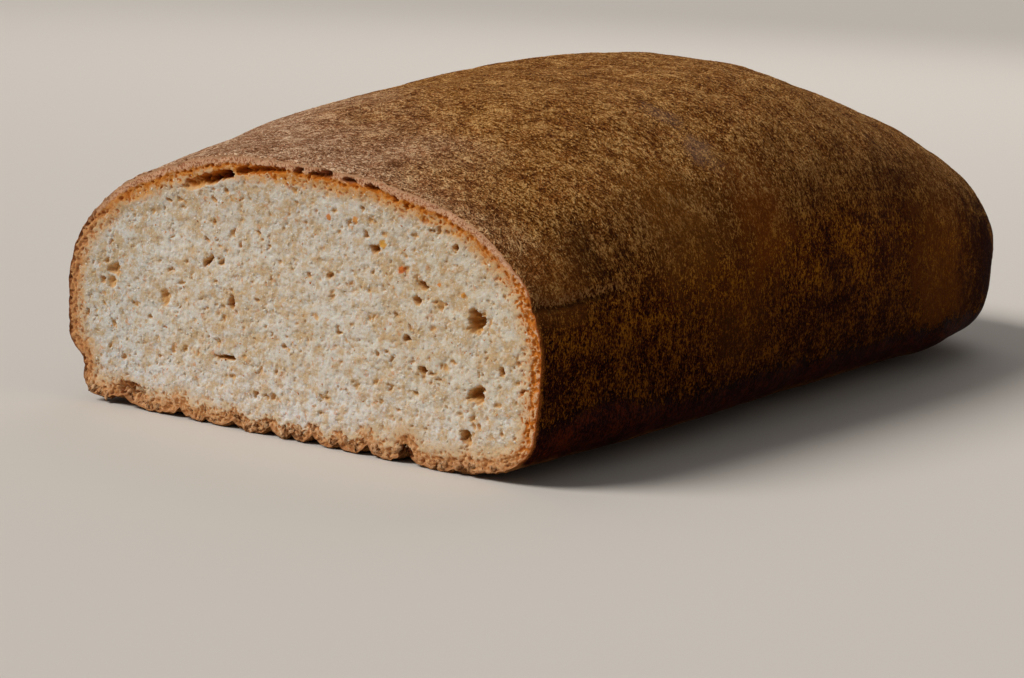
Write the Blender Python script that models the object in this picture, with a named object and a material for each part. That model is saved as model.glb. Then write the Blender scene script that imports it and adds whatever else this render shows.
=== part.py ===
"""A free-formed wheat loaf with its first slices gone, in metres.

The cut face looks towards -Y and the uncut end towards +Y, +X is the loaf's right side seen from the cut, and
+Z is up. The origin is the middle of the loaf's box, on the surface under its flat base.
"""

import math
import random

import bmesh
import bpy
from mathutils import Matrix, Vector, noise

# The cut face.
CUT_WIDTH = 0.1300
CUT_HEIGHT = 0.0592
# The loaf behind it.
LENGTH = 0.2650
WIDEST = 0.1343
WIDEST_AT = 0.75
TALLEST = 0.0772
TALLEST_AT = 0.558
TIP_HEIGHT = 0.0270
UNDERSIDE_TURNS_AT = 0.736
TURN_OF_AXIS = -0.033
BEND_OF_AXIS = -0.0114
# The exponents that close the far end, and those of the section's upper and lower halves.
END_OF_WIDTH = (4.0, 2.4)
END_OF_HEIGHT = (1.32, 2.07)
END_OF_UNDERSIDE = 2.0
UPPER_ROUNDING = 2.375
LOWER_ROUNDING = 5.2
# The widest line of a section, as a share of its height at the cut and from the middle on.
WIDEST_LINE = (0.395, 0.42)
# The dough settled by this much, which makes the base flat.
SETTLED = 0.0004

RINGS = 50
POINTS_AROUND = 84
STEPS_AROUND = 1440
# The flat base takes this share of the points that the same length of dome takes.
BASE_POINT_SHARE = 0.4

# Gentle unevenness of the crust: height and width of its waves, and where in the noise they are read.
WAVES = ((0.0012, 0.046), (0.0006, 0.016))
WAVES_START = Vector((0.546, 1.302, 0.294))
SMOOTH_FOOT_HEIGHT = 0.008
# A low bulge along the right side's foot, full up to the first height and gone at the second.
FOOT_BULGE = 0.0015
FOOT_BULGE_AT = 0.045
FOOT_BULGE_REACH = 0.028
FOOT_BULGE_HEIGHTS = (0.008, 0.016)
FOOT_BULGE_STARTS = (0.020, 0.050)
# The near left corner, which stands off the level that the base lies on.
CORNER_LIFT = 0.0024
CORNER_LIFT_FROM = 0.038
CORNER_LIFT_REACH = 0.045
CORNER_LIFT_HEIGHT = 0.025

# Openings in the cut face: middle across and up, width, height and depth in millimetres, tilt in degrees.
TUNNEL_UNDER_CRUST = (
    (-20.6, 53.9, 7.0, 2.6, 7.0, 15),
    (-24.8, 52.6, 7.0, 2.4, 6.0, 12),
    (-28.6, 51.4, 6.0, 1.6, 4.0, 20),
)
SLITS_UNDER_CRUST = (
    (-10.0, 56.3, 11.5, 1.3, 5.0, 7),
    (7.3, 57.6, 3.8, 1.7, 4.0, 4),
    (14.4, 57.0, 3.4, 1.0, 3.6, -8),
    (20.1, 56.2, 3.4, 1.0, 3.6, -12),
)
LARGE_PORES = (
    (48.1, 31.6, 3.6, 4.8, 5.0, -12),
    (48.9, 16.9, 4.4, 3.0, 4.6, 0),
    (46.9, 8.1, 2.4, 3.4, 3.6, 20),
    (-51.6, 29.5, 4.6, 4.6, 2.4, 0),
    (-35.7, 25.9, 3.0, 4.4, 2.2, 0),
    (-16.6, 27.3, 2.0, 3.4, 3.0, 12),
    (-23.6, 35.4, 3.9, 1.4, 3.0, 40),
    (34.2, 37.4, 3.2, 1.6, 2.8, -20),
    (-17.7, 15.2, 6.2, 1.2, 3.0, 2),
    (21.6, 43.3, 2.8, 2.0, 2.4, 0),
    (35.3, 20.0, 1.8, 2.4, 2.6, 15),
    (33.1, 34.2, 2.2, 2.0, 2.4, -30),
    (30.7, 26.1, 2.0, 1.5, 2.6, 10),
    (55.1, 22.7, 1.6, 2.0, 2.4, 0),
)
HOLLOW_AT_LEFT_CORNER = ((-44.4, 4.6, 9.0, 3.4, 8.0, -6),)
NOTCHES_IN_BASE = (
    (-30.6, 0.2, 3.6, 3.0, 9.0, 0),
    (-15.3, 0.2, 1.6, 2.8, 7.0, 0),
    (-4.6, -0.2, 3.6, 2.2, 6.0, 0),
    (7.0, 0.2, 3.6, 3.2, 8.0, 0),
    (21.6, 0.2, 2.8, 3.4, 8.0, -15),
    (31.8, 1.4, 4.2, 4.4, 11.0, 25),
)
SMALL_PORES = 40
SMALL_PORE_WIDTHS = (0.0012, 0.0020)
SMALL_PORE_DEPTH_PER_WIDTH = 1.4
SMALL_PORE_MARGIN = 0.87
CLEAR_OF_OTHERS = 0.0012
SEED = 11

CRUST_COLOUR = (0.22, 0.105, 0.040, 1.0)
CRUST_ROUGHNESS = 0.75
MILLIMETRE = 0.001


def smooth_step(low, high, value):
    share = min(max((value - low) / (high - low), 0.0), 1.0)
    return share * share * (3.0 - 2.0 * share)


def swelling(share, peak_at, start, peak):
    """Grows from the cut's size to the largest size, level where it gets there."""
    behind = max((peak_at - share) / peak_at, 0.0)
    return peak - (peak - start) * behind**2


def closing(share, begins_at, exponents):
    """Falls from 1 to 0 between begins_at and the tip."""
    inner, outer = exponents
    along = min(max((share - begins_at) / (1.0 - begins_at), 0.0), 1.0)
    return max(1.0 - along**inner, 0.0) ** (1.0 / outer)


def width_at(share):
    return swelling(share, WIDEST_AT, CUT_WIDTH, WIDEST) * closing(share, WIDEST_AT, END_OF_WIDTH)


def crown_at(share):
    if share < TALLEST_AT:
        return swelling(share, TALLEST_AT, CUT_HEIGHT, TALLEST)
    return TIP_HEIGHT + (TALLEST - TIP_HEIGHT) * closing(share, TALLEST_AT, END_OF_HEIGHT)


def underside_at(share):
    rounding = (END_OF_UNDERSIDE, END_OF_UNDERSIDE)
    return TIP_HEIGHT * (1.0 - closing(share, UNDERSIDE_TURNS_AT, rounding)) - SETTLED


def widest_line_at(share, low, high):
    at_cut, behind = WIDEST_LINE
    return low + (high - low) * (at_cut + (behind - at_cut) * min(2.0 * share, 1.0))


def section_point(share, angle):
    """A point of the plain loaf: angle 0 is the right side's widest line, a quarter turn up is the crown."""
    across, up = math.cos(angle), math.sin(angle)
    rounding = UPPER_ROUNDING if up > 0.0 else LOWER_ROUNDING
    radius = (abs(across) ** rounding + abs(up) ** rounding) ** (-1.0 / rounding)
    low, high = underside_at(share), crown_at(share)
    line = widest_line_at(share, low, high)
    reach = high - line if up > 0.0 else line - low
    axis = TURN_OF_AXIS * LENGTH * share + BEND_OF_AXIS * share**2
    x = axis + width_at(share) / 2.0 * radius * across
    z = max(line + reach * radius * up, 0.0)
    return Vector((x, LENGTH * share, z))


def angles_around():
    """Angles that space the points evenly round the cut's outline, and wider along its base."""
    start = -math.pi / 2.0
    angles = [start + 2.0 * math.pi * step / STEPS_AROUND for step in range(STEPS_AROUND + 1)]
    outline = [section_point(0.0, angle) for angle in angles]
    walked = [0.0]
    for here, there in zip(outline, outline[1:]):
        weight = BASE_POINT_SHARE if here.z == 0.0 and there.z == 0.0 else 1.0
        walked.append(walked[-1] + weight * (there - here).length)
    chosen = []
    step = 0
    for point in range(POINTS_AROUND):
        target = walked[-1] * point / POINTS_AROUND
        while walked[step + 1] <= target:
            step += 1
        between = (target - walked[step]) / (walked[step + 1] - walked[step])
        chosen.append(angles[step] + between * (angles[step + 1] - angles[step]))
    return chosen


def dip(point):
    """How far the uneven crust lies inside the plain loaf, fading out towards its foot."""
    depth = sum(height * noise.noise((point + WAVES_START) / width) for height, width in WAVES)
    return depth * smooth_step(0.0, SMOOTH_FOOT_HEIGHT, point.z)


def foot_bulge(point):
    along = 1.0 - smooth_step(0.0, FOOT_BULGE_REACH, abs(point.y - FOOT_BULGE_AT))
    up = 1.0 - smooth_step(*FOOT_BULGE_HEIGHTS, point.z)
    right = smooth_step(*FOOT_BULGE_STARTS, point.x)
    return FOOT_BULGE * along * up * right


def corner_lift(point):
    left = smooth_step(CORNER_LIFT_FROM, CUT_WIDTH / 2.0, -point.x)
    near = 1.0 - smooth_step(0.0, CORNER_LIFT_REACH, point.y)
    low = 1.0 - smooth_step(0.0, CORNER_LIFT_HEIGHT, point.z)
    return CORNER_LIFT * left * near * low


def make_loaf_mesh():
    """The loft from the cut's outline to the tip, with the crust's unevenness, closed by the flat cut."""
    shape = bmesh.new()
    angles = angles_around()
    rings = []
    for ring in range(RINGS):
        share = math.sin(math.pi / 2.0 * ring / RINGS)
        rings.append([shape.verts.new(section_point(share, angle)) for angle in angles])
    tip = shape.verts.new(section_point(1.0, 0.0))
    for near, far in zip(rings, rings[1:]):
        for here in range(POINTS_AROUND):
            there = (here + 1) % POINTS_AROUND
            shape.faces.new((near[here], far[here], far[there], near[there]))
    for here in range(POINTS_AROUND):
        shape.faces.new((rings[-1][here], tip, rings[-1][(here + 1) % POINTS_AROUND]))
    shape.normal_update()
    moves = []
    for vertex in shape.verts:
        move = Vector((foot_bulge(vertex.co), 0.0, corner_lift(vertex.co))) - vertex.normal * dip(vertex.co)
        if vertex.co.y == 0.0:
            move.y = 0.0
        moves.append(move)
    for vertex, move in zip(shape.verts, moves):
        vertex.co += move
        vertex.co.z = max(vertex.co.z, 0.0)
    shape.faces.new(rings[0])
    return shape


def centre_on_box(shape):
    """Moves the loaf so that the origin is under the middle of its box, and gives the cut's place there."""
    xs = [vertex.co.x for vertex in shape.verts]
    ys = [vertex.co.y for vertex in shape.verts]
    move = Vector((-(min(xs) + max(xs)) / 2.0, -(min(ys) + max(ys)) / 2.0, 0.0))
    bmesh.ops.translate(shape, verts=shape.verts[:], vec=move)
    return move


def random_pores(rng):
    """Small pores spread over the crumb, clear of the larger openings and of each other."""
    taken = [
        (row[0] * MILLIMETRE, row[1] * MILLIMETRE, max(row[2], row[3]) * MILLIMETRE / 2.0)
        for row in TUNNEL_UNDER_CRUST + SLITS_UNDER_CRUST + LARGE_PORES + HOLLOW_AT_LEFT_CORNER
    ]
    pores = []
    while len(pores) < SMALL_PORES:
        angle = rng.uniform(-math.pi, math.pi)
        reach = SMALL_PORE_MARGIN * math.sqrt(rng.random())
        edge = section_point(0.0, angle)
        middle = CUT_HEIGHT * WIDEST_LINE[0]
        x, z = edge.x * reach, middle + (edge.z - middle) * reach
        width = rng.uniform(*SMALL_PORE_WIDTHS)
        if all(math.hypot(x - u, z - w) > r + width / 2.0 + CLEAR_OF_OTHERS for u, w, r in taken):
            taken.append((x, z, width / 2.0))
            size = width / MILLIMETRE
            depth = size * SMALL_PORE_DEPTH_PER_WIDTH
            pores.append((x / MILLIMETRE, z / MILLIMETRE, size, size, depth, math.degrees(angle)))
    return pores


def add_cutter(name, opening, subdivisions, cut, collection):
    """An egg-shaped cutter centred on the cut face."""
    x, z, width, height, depth, tilt = opening
    ball = bmesh.new()
    bmesh.ops.create_icosphere(ball, subdivisions=subdivisions, radius=0.5 * MILLIMETRE)
    stretch = Matrix.Diagonal((width, 2.0 * depth, height, 1.0))
    turn = Matrix.Rotation(-math.radians(tilt), 4, "Y")
    place = Matrix.Translation(Vector((x * MILLIMETRE, 0.0, z * MILLIMETRE)) + cut)
    bmesh.ops.transform(ball, matrix=place @ turn @ stretch, verts=ball.verts[:])
    mesh = bpy.data.meshes.new(name)
    ball.to_mesh(mesh)
    ball.free()
    cutter = bpy.data.objects.new(name, mesh)
    cutter.hide_render = True
    cutter.display_type = "WIRE"
    collection.objects.link(cutter)


def add_cutters(cut, collection):
    rng = random.Random(SEED)
    for kind, openings, subdivisions in (
        ("tunnel", TUNNEL_UNDER_CRUST, 2),
        ("slit", SLITS_UNDER_CRUST, 2),
        ("large_pore", LARGE_PORES, 2),
        ("hollow", HOLLOW_AT_LEFT_CORNER, 2),
        ("notch", NOTCHES_IN_BASE, 2),
        ("small_pore", random_pores(rng), 1),
    ):
        for number, opening in enumerate(openings):
            add_cutter(f"{kind}_{number}", opening, subdivisions, cut, collection)


def crust_material():
    material = bpy.data.materials.new("baked_crust")
    material.use_nodes = True
    shader = material.node_tree.nodes["Principled BSDF"]
    shader.inputs["Base Color"].default_value = CRUST_COLOUR
    shader.inputs["Roughness"].default_value = CRUST_ROUGHNESS
    shader.inputs["Metallic"].default_value = 0.0
    return material


def new_collection(name):
    collection = bpy.data.collections.new(name)
    bpy.context.scene.collection.children.link(collection)
    return collection


def main():
    for old in list(bpy.data.objects):
        bpy.data.objects.remove(old, do_unlink=True)
    loaf_parts = new_collection("cut_loaf")
    cutters = new_collection("cut_loaf_cutters")

    shape = make_loaf_mesh()
    cut = centre_on_box(shape)
    mesh = bpy.data.meshes.new("loaf")
    shape.to_mesh(mesh)
    shape.free()
    mesh.materials.append(crust_material())
    mesh.shade_smooth()
    loaf = bpy.data.objects.new("loaf", mesh)
    loaf_parts.objects.link(loaf)

    add_cutters(cut, cutters)
    openings = loaf.modifiers.new("openings", "BOOLEAN")
    openings.operation = "DIFFERENCE"
    openings.operand_type = "COLLECTION"
    openings.collection = cutters
    openings.solver = "EXACT"


main()
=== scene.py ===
"""The looks of a cut wheat loaf: baked crust, open crumb, and the bran and crumbs on them, in metres.

The form repeats the frame's: the cut face looks towards -Y, +X is the loaf's right side, and +Z is up.
"""

import math

import bpy
import numpy as np
from mathutils import Matrix, Vector, geometry, kdtree, noise


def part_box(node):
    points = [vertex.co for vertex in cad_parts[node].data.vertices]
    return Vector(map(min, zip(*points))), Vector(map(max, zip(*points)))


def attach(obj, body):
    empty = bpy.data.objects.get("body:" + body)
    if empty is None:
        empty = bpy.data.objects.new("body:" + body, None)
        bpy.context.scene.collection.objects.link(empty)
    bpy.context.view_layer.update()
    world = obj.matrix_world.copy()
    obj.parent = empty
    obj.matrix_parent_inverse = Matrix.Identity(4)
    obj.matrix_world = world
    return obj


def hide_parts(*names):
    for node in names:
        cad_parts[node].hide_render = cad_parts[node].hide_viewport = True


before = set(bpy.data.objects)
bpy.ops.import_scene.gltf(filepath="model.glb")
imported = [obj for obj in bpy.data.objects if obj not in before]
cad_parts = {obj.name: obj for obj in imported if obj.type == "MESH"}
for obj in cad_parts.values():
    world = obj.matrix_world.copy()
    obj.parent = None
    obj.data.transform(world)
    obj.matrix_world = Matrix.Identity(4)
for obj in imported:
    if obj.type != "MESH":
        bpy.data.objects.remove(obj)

MILLIMETRE = 0.001

# The loaf's form, as the frame has it.
CUT_WIDTH = 0.1300
CUT_MIDDLE = (0.0087, -0.1326)
CUT_HEIGHT = 0.0592
LENGTH = 0.2650
WIDEST = 0.1343
WIDEST_AT = 0.75
TALLEST = 0.0772
TALLEST_AT = 0.558
TIP_HEIGHT = 0.0270
UNDERSIDE_TURNS_AT = 0.736
TURN_OF_AXIS = -0.033
BEND_OF_AXIS = -0.0114
END_OF_WIDTH = (4.0, 2.4)
END_OF_HEIGHT = (1.32, 2.07)
END_OF_UNDERSIDE = 2.0
UPPER_ROUNDING = 2.375
LOWER_ROUNDING = 5.2
WIDEST_LINE = (0.395, 0.42)
SETTLED = 0.0004
WAVES = ((0.0012, 0.046), (0.0006, 0.016))
WAVES_START = Vector((0.546, 1.302, 0.294))
SMOOTH_FOOT_HEIGHT = 0.008
FOOT_BULGE = 0.0015
FOOT_BULGE_AT = 0.045
FOOT_BULGE_REACH = 0.028
FOOT_BULGE_HEIGHTS = (0.008, 0.016)
FOOT_BULGE_STARTS = (0.020, 0.050)
CORNER_LIFT = 0.0024
CORNER_LIFT_FROM = 0.038
CORNER_LIFT_REACH = 0.045
CORNER_LIFT_HEIGHT = 0.025

# How closely the skin is sampled.
FOOT_ANGLE = math.radians(-49.3)
CRUST_POINTS_AROUND = 320
BASE_POINTS_ACROSS = 170
RINGS = 270
RING_STEP_AT_CUT = 0.35
RING_STEP_BEHIND = 1.0
RING_STEP_GROWS_OVER = 0.012
RING_SAMPLES = 6001
ANGLE_SAMPLES = 4001
CHORD = 0.001
SHORTEST_NORMAL = 1e-12
CUT_FACE_STEP = 0.00029
OUTLINE_STEP = 0.0001

# The camera, from the picture's frame of 1024 pixels across.
FRAME_WIDTH = 1024
FOCAL_LENGTH_IN_PIXELS = 2700
SENSOR_WIDTH = 36.0
CAMERA_PLACE = (0.3701, -0.5617, 0.1181)
CAMERA_YAW = math.radians(35.34)
CAMERA_PITCH = math.radians(-9.55)
CAMERA_ROLL = math.radians(2.78)


def smooth_step(low, high, value):
    """0 up to low, 1 from high on, smooth between them."""
    share = np.clip((value - low) / (high - low), 0.0, 1.0)
    return share * share * (3.0 - 2.0 * share)


def swelling(share, peak_at, start, peak):
    """Grows from the cut's size to the largest size, level where it gets there."""
    behind = np.maximum((peak_at - share) / peak_at, 0.0)
    return peak - (peak - start) * behind**2


def closing(share, begins_at, exponents):
    """Falls from 1 to 0 between begins_at and the tip."""
    inner, outer = exponents
    along = np.clip((share - begins_at) / (1.0 - begins_at), 0.0, 1.0)
    return np.maximum(1.0 - along**inner, 0.0) ** (1.0 / outer)


def width_at(share):
    return swelling(share, WIDEST_AT, CUT_WIDTH, WIDEST) * closing(share, WIDEST_AT, END_OF_WIDTH)


def crown_at(share):
    rising = swelling(share, TALLEST_AT, CUT_HEIGHT, TALLEST)
    falling = TIP_HEIGHT + (TALLEST - TIP_HEIGHT) * closing(share, TALLEST_AT, END_OF_HEIGHT)
    return np.where(share < TALLEST_AT, rising, falling)


def underside_at(share):
    rounding = (END_OF_UNDERSIDE, END_OF_UNDERSIDE)
    return TIP_HEIGHT * (1.0 - closing(share, UNDERSIDE_TURNS_AT, rounding)) - SETTLED


def plain_loaf(share, angle):
    """Points of the plain loaf: angle 0 is the right side's widest line, a quarter turn up is the crown."""
    across, up = np.cos(angle), np.sin(angle)
    rounding = np.where(up > 0.0, UPPER_ROUNDING, LOWER_ROUNDING)
    radius = (np.abs(across) ** rounding + np.abs(up) ** rounding) ** (-1.0 / rounding)
    low, high = underside_at(share), crown_at(share)
    at_cut, behind = WIDEST_LINE
    line = low + (high - low) * (at_cut + (behind - at_cut) * np.minimum(2.0 * share, 1.0))
    reach = np.where(up > 0.0, high - line, line - low)
    axis = TURN_OF_AXIS * LENGTH * share + BEND_OF_AXIS * share**2
    x = axis + width_at(share) / 2.0 * radius * across
    z = np.maximum(line + reach * radius * up, 0.0)
    return np.stack(np.broadcast_arrays(x, LENGTH * share, z), axis=-1)


def outward_from(share, angle):
    """Unit normals of the plain loaf, from two short chords through each point."""
    around = plain_loaf(share, angle + CHORD) - plain_loaf(share, angle - CHORD)
    ahead, back = np.minimum(share + CHORD, 1.0), np.maximum(share - CHORD, 0.0)
    along = plain_loaf(ahead, angle) - plain_loaf(back, angle)
    normal = np.cross(along, around)
    return normal / np.maximum(np.linalg.norm(normal, axis=-1, keepdims=True), SHORTEST_NORMAL)


def waves_at(points, waves, start=Vector()):
    """The sum of smooth waves, each of a height and a width, at each point."""
    return np.array([
        sum(height * noise.noise((Vector(point) + start) / width) for height, width in waves)
        for point in points
    ])


def foot_bulge(points):
    """How far the right side's foot swells outwards."""
    x, y, z = points.T
    along = 1.0 - smooth_step(0.0, FOOT_BULGE_REACH, np.abs(y - FOOT_BULGE_AT))
    up = 1.0 - smooth_step(*FOOT_BULGE_HEIGHTS, z)
    return FOOT_BULGE * along * up * smooth_step(*FOOT_BULGE_STARTS, x)


def corner_lift(points):
    """How far the lower left corner at the cut is lifted."""
    x, y, z = points.T
    left = smooth_step(CORNER_LIFT_FROM, CUT_WIDTH / 2.0, -x)
    near = 1.0 - smooth_step(0.0, CORNER_LIFT_REACH, y)
    low = 1.0 - smooth_step(0.0, CORNER_LIFT_HEIGHT, z)
    return CORNER_LIFT * left * near * low


# The left corner is squarer near the cut: angle round the loaf in degrees, shift across and shift up.
HEEL_SHIFTS = (
    (204.0, 0.0000, 0.0000),
    (207.0, 0.0006, 0.0000),
    (210.0, 0.0020, 0.0000),
    (212.5, 0.0031, 0.0000),
    (215.0, 0.0032, 0.0000),
    (218.0, 0.0024, 0.0000),
    (220.5, 0.0009, 0.0000),
    (223.0, -0.0011, 0.0000),
    (226.0, -0.0034, -0.0006),
    (229.3, -0.0056, -0.0010),
    (231.5, -0.0050, -0.0006),
    (234.0, -0.0042, 0.0000),
    (237.0, -0.0026, 0.0002),
    (239.5, -0.0014, 0.0000),
    (245.0, 0.0000, 0.0000),
)
HEEL_REACH = 0.040


def heel_shift(angle, y):
    """The shift of the left corner across and up, fading behind the cut."""
    angles, across, up = zip(*HEEL_SHIFTS)
    near = 1.0 - smooth_step(0.0, HEEL_REACH, y)
    turn = np.degrees(angle)
    return np.interp(turn, angles, across) * near, np.interp(turn, angles, up) * near


# Gaps between the lumps of the base: middle across, height, half of its width and reach behind the cut.
GAPS_IN_BASE = (
    (-0.0438, 0.0014, 0.0052, 0.010),
    (-0.0306, 0.0024, 0.0026, 0.012),
    (-0.0230, 0.0010, 0.0016, 0.008),
    (-0.0153, 0.0020, 0.0022, 0.010),
    (-0.0046, 0.0018, 0.0026, 0.009),
    (0.0010, 0.0010, 0.0016, 0.008),
    (0.0070, 0.0023, 0.0026, 0.012),
    (0.0140, 0.0011, 0.0016, 0.008),
    (0.0216, 0.0024, 0.0024, 0.012),
    (0.0318, 0.0034, 0.0030, 0.015),
)
BASE_ROUGHNESS = ((0.0010, 0.0040), (0.0009, 0.0015))
BASE_ROUGH_REACH = 0.020
LUMP_HEIGHT = 0.009
GAP_SLOPE = 2.2


def base_gaps(points):
    """How far the underside is lifted between its lumps, near the cut."""
    x, y, z = points.T
    low = 1.0 - smooth_step(0.0, LUMP_HEIGHT, z)
    lift = np.zeros(len(points))
    for middle, height, half_width, reach in GAPS_IN_BASE:
        near = 1.0 - smooth_step(0.0, reach, y)
        lift = np.maximum(lift, height * near * np.exp(-GAP_SLOPE * np.abs(x - middle) / half_width))
    rough = np.maximum(waves_at(points, BASE_ROUGHNESS), 0.0) * (1.0 - smooth_step(0.0, BASE_ROUGH_REACH, y))
    return (lift + rough) * low


# The crease on the right side near the cut, where the loaf was folded shut: heights above the base.
SEAM_HEIGHTS = ((0.000, 0.0362), (0.029, 0.0378))
SEAM_FADES = (0.018, 0.040)
SEAM_SIDE = (0.0, 0.02)
SEAM_SURROUNDINGS = (-0.01, 0.01)
SEAM_DEPTH = 0.0005
SEAM_HALF_WIDTH = 0.0010
FOLD_HEIGHT = 0.0005
FOLD_ABOVE = 0.0035
FOLD_HALF_WIDTH = 0.0030

# Upper edge of the smooth foot, by the distance behind the cut.
FOOT_EDGE = (
    (0.000, 0.0125),
    (0.008, 0.0134),
    (0.015, 0.0141),
    (0.022, 0.0152),
    (0.029, 0.0156),
    (0.035, 0.0144),
    (0.041, 0.0127),
    (0.052, 0.0121),
    (0.062, 0.0117),
    (0.091, 0.0129),
    (0.150, 0.0120),
    (0.265, 0.0125),
)


def from_seam(points):
    """Height above the crease, and how much of the crease there is at that place."""
    x, y, z = points.T
    height = z - np.interp(y, *zip(*SEAM_HEIGHTS))
    there = (1.0 - smooth_step(*SEAM_FADES, y)) * smooth_step(*SEAM_SIDE, x)
    return height, there


def seam_relief(points):
    """A narrow crease, and the low fold above it."""
    height, there = from_seam(points)
    crease = SEAM_DEPTH * np.exp(-((height / SEAM_HALF_WIDTH) ** 2))
    fold = FOLD_HEIGHT * np.exp(-(((height - FOLD_ABOVE) / FOLD_HALF_WIDTH) ** 2))
    return (fold - crease) * there


# The crust's own relief: soft wrinkles, which are lower on the foot, and beads along its cut edge.
WRINKLES = ((0.00022, 0.0075), (0.00012, 0.0036), (0.00008, 0.0019))
WRINKLES_ON_FOOT = 0.3
EDGE_BEADS = ((0.00034, 0.0013),)
EDGE_BEADS_REACH = 0.0025
EDGE_ROUNDING = 0.0006
EDGE_SINK = 0.0003


def skin(shares, angles):
    """The finished skin as points by ring and angle, with each point's upward share of its normal."""
    share, angle = shares[:, None], angles[None, :]
    shape = (len(shares), len(angles), 3)
    plain = np.broadcast_to(plain_loaf(share, angle), shape).reshape(-1, 3)
    outward = np.broadcast_to(outward_from(share, angle), shape).reshape(-1, 3)
    x, y, z = plain.T
    off_foot = smooth_step(0.0, SMOOTH_FOOT_HEIGHT, z)
    dip = waves_at(plain, WAVES, WAVES_START) * off_foot
    grain = waves_at(plain, WRINKLES) * (WRINKLES_ON_FOOT + (1.0 - WRINKLES_ON_FOOT) * off_foot)
    grain += waves_at(plain, EDGE_BEADS) * (1.0 - smooth_step(0.0, EDGE_BEADS_REACH, y))
    edge = np.clip(1.0 - y / EDGE_ROUNDING, 0.0, 1.0)
    sink = EDGE_SINK * edge**2
    moved = plain + outward * (grain + seam_relief(plain) - dip - sink)[:, None]
    heel_across, heel_up = heel_shift(np.broadcast_to(angle, shape[:2]).ravel(), y)
    moved[:, 0] += foot_bulge(plain) + heel_across
    moved[:, 2] += corner_lift(plain) + base_gaps(plain) + heel_up
    moved[:, 1] = np.where(y == 0.0, 0.0, moved[:, 1])
    moved[:, 2] = np.maximum(moved[:, 2], 0.0)
    return moved.reshape(shape), outward[:, 2].reshape(shape[:2])


def evenly_between(values, lengths, count):
    """Picks count values that space the walked length evenly, both ends among them."""
    walked = np.concatenate([[0.0], np.cumsum(lengths)])
    return np.interp(np.linspace(0.0, walked[-1], count), walked, values)


def ring_shares():
    """Shares of the length at which rings lie: close at the cut and wider behind it."""
    fine = np.sin(np.linspace(0.0, math.pi / 2.0, RING_SAMPLES))
    profile = np.stack([LENGTH * fine, crown_at(fine), width_at(fine) / 2.0], axis=1)
    steps = np.linalg.norm(np.diff(profile, axis=0), axis=1)
    behind = smooth_step(0.0, RING_STEP_GROWS_OVER, LENGTH * fine[1:])
    spacing = RING_STEP_AT_CUT + (RING_STEP_BEHIND - RING_STEP_AT_CUT) * behind
    return evenly_between(fine, steps / spacing, RINGS + 1)


def angles_between(start, end, count):
    """Angles from start to end that space the points of the cut's outline evenly."""
    fine = np.linspace(start, end, ANGLE_SAMPLES)
    outline = plain_loaf(0.0, fine)
    return evenly_between(fine, np.linalg.norm(np.diff(outline, axis=0), axis=1), count)


def faces_between(rings, around):
    """Quads between rings of points, and triangles from the last ring to the tip after it."""
    faces = []
    for ring in range(rings - 1):
        for here in range(around - 1):
            near, far = ring * around + here, (ring + 1) * around + here
            faces.append((near, far, far + 1, near + 1))
    last, tip = (rings - 1) * around, rings * around
    faces += [(last + here, tip, last + here + 1) for here in range(around - 1)]
    return faces


def make_piece(name, points, faces, material, attributes):
    """A smooth mesh piece that stands for the loaf's solid and rides with it."""
    mesh = bpy.data.meshes.new(name)
    mesh.from_pydata(points, [], faces)
    for title, values in attributes.items():
        mesh.attributes.new(title, "FLOAT", "POINT").data.foreach_set("value", values)
    mesh.materials.append(material)
    mesh.shade_smooth()
    piece = bpy.data.objects.new(name, mesh)
    bpy.context.scene.collection.objects.link(piece)
    return hand_in(piece)


def hand_in(piece):
    """Ties the piece to the loaf's solid."""
    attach(piece, "root")
    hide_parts("loaf")
    return piece


# The openings of the cut face: middle across and up, width, height and depth in millimetres, tilt in degrees.
TUNNEL_UNDER_CRUST = (
    (-19.6, 54.4, 6.0, 2.2, 5.0, 12),
    (-23.6, 53.2, 6.8, 2.8, 3.2, 14),
    (-27.6, 51.8, 7.6, 2.6, 1.5, 16),
)
SLITS_UNDER_CRUST = (
    (-14.6, 55.7, 3.6, 1.9, 2.4, 4),
    (-12.4, 56.1, 6.4, 1.4, 1.8, 4),
    (-8.6, 56.6, 7.4, 1.5, 2.0, 3),
    (-5.0, 56.9, 4.8, 1.2, 1.6, 2),
    (0.6, 57.2, 2.4, 1.6, 1.8, 0),
    (6.4, 57.0, 5.4, 1.5, 2.0, 8),
    (8.2, 57.5, 2.4, 2.2, 2.6, 4),
    (14.4, 56.7, 3.6, 1.2, 2.2, -8),
    (20.1, 55.9, 3.6, 1.4, 2.2, -12),
    (26.4, 54.1, 1.4, 1.0, 2.4, -20),
    (29.4, 53.0, 1.3, 0.9, 2.2, -25),
    (42.3, 46.0, 1.6, 1.4, 2.6, -40),
)
LARGE_PORES = (
    (48.1, 31.6, 3.8, 5.0, 4.2, -12),
    (48.9, 16.9, 4.6, 3.2, 3.8, 0),
    (46.9, 8.1, 2.6, 3.6, 2.8, 20),
    (-51.0, 30.4, 4.0, 2.8, 1.6, 0),
    (-51.8, 27.4, 3.0, 3.4, 0.9, 0),
    (-54.6, 27.6, 1.6, 2.0, 1.4, 0),
    (-35.7, 25.9, 3.0, 4.0, 1.3, 0),
    (-16.6, 27.3, 2.0, 3.4, 3.0, 12),
    (-23.6, 35.4, 3.9, 1.4, 3.0, 40),
    (34.2, 37.4, 3.2, 1.6, 2.8, -20),
    (-17.7, 15.2, 6.2, 1.2, 3.0, 2),
    (21.6, 43.3, 2.8, 2.0, 2.4, 0),
    (35.3, 20.0, 1.8, 2.4, 2.6, 15),
    (33.1, 34.2, 2.2, 2.0, 2.4, -30),
    (30.7, 26.1, 2.0, 1.5, 2.6, 10),
    (55.1, 22.7, 1.6, 2.0, 2.4, 0),
)
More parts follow.
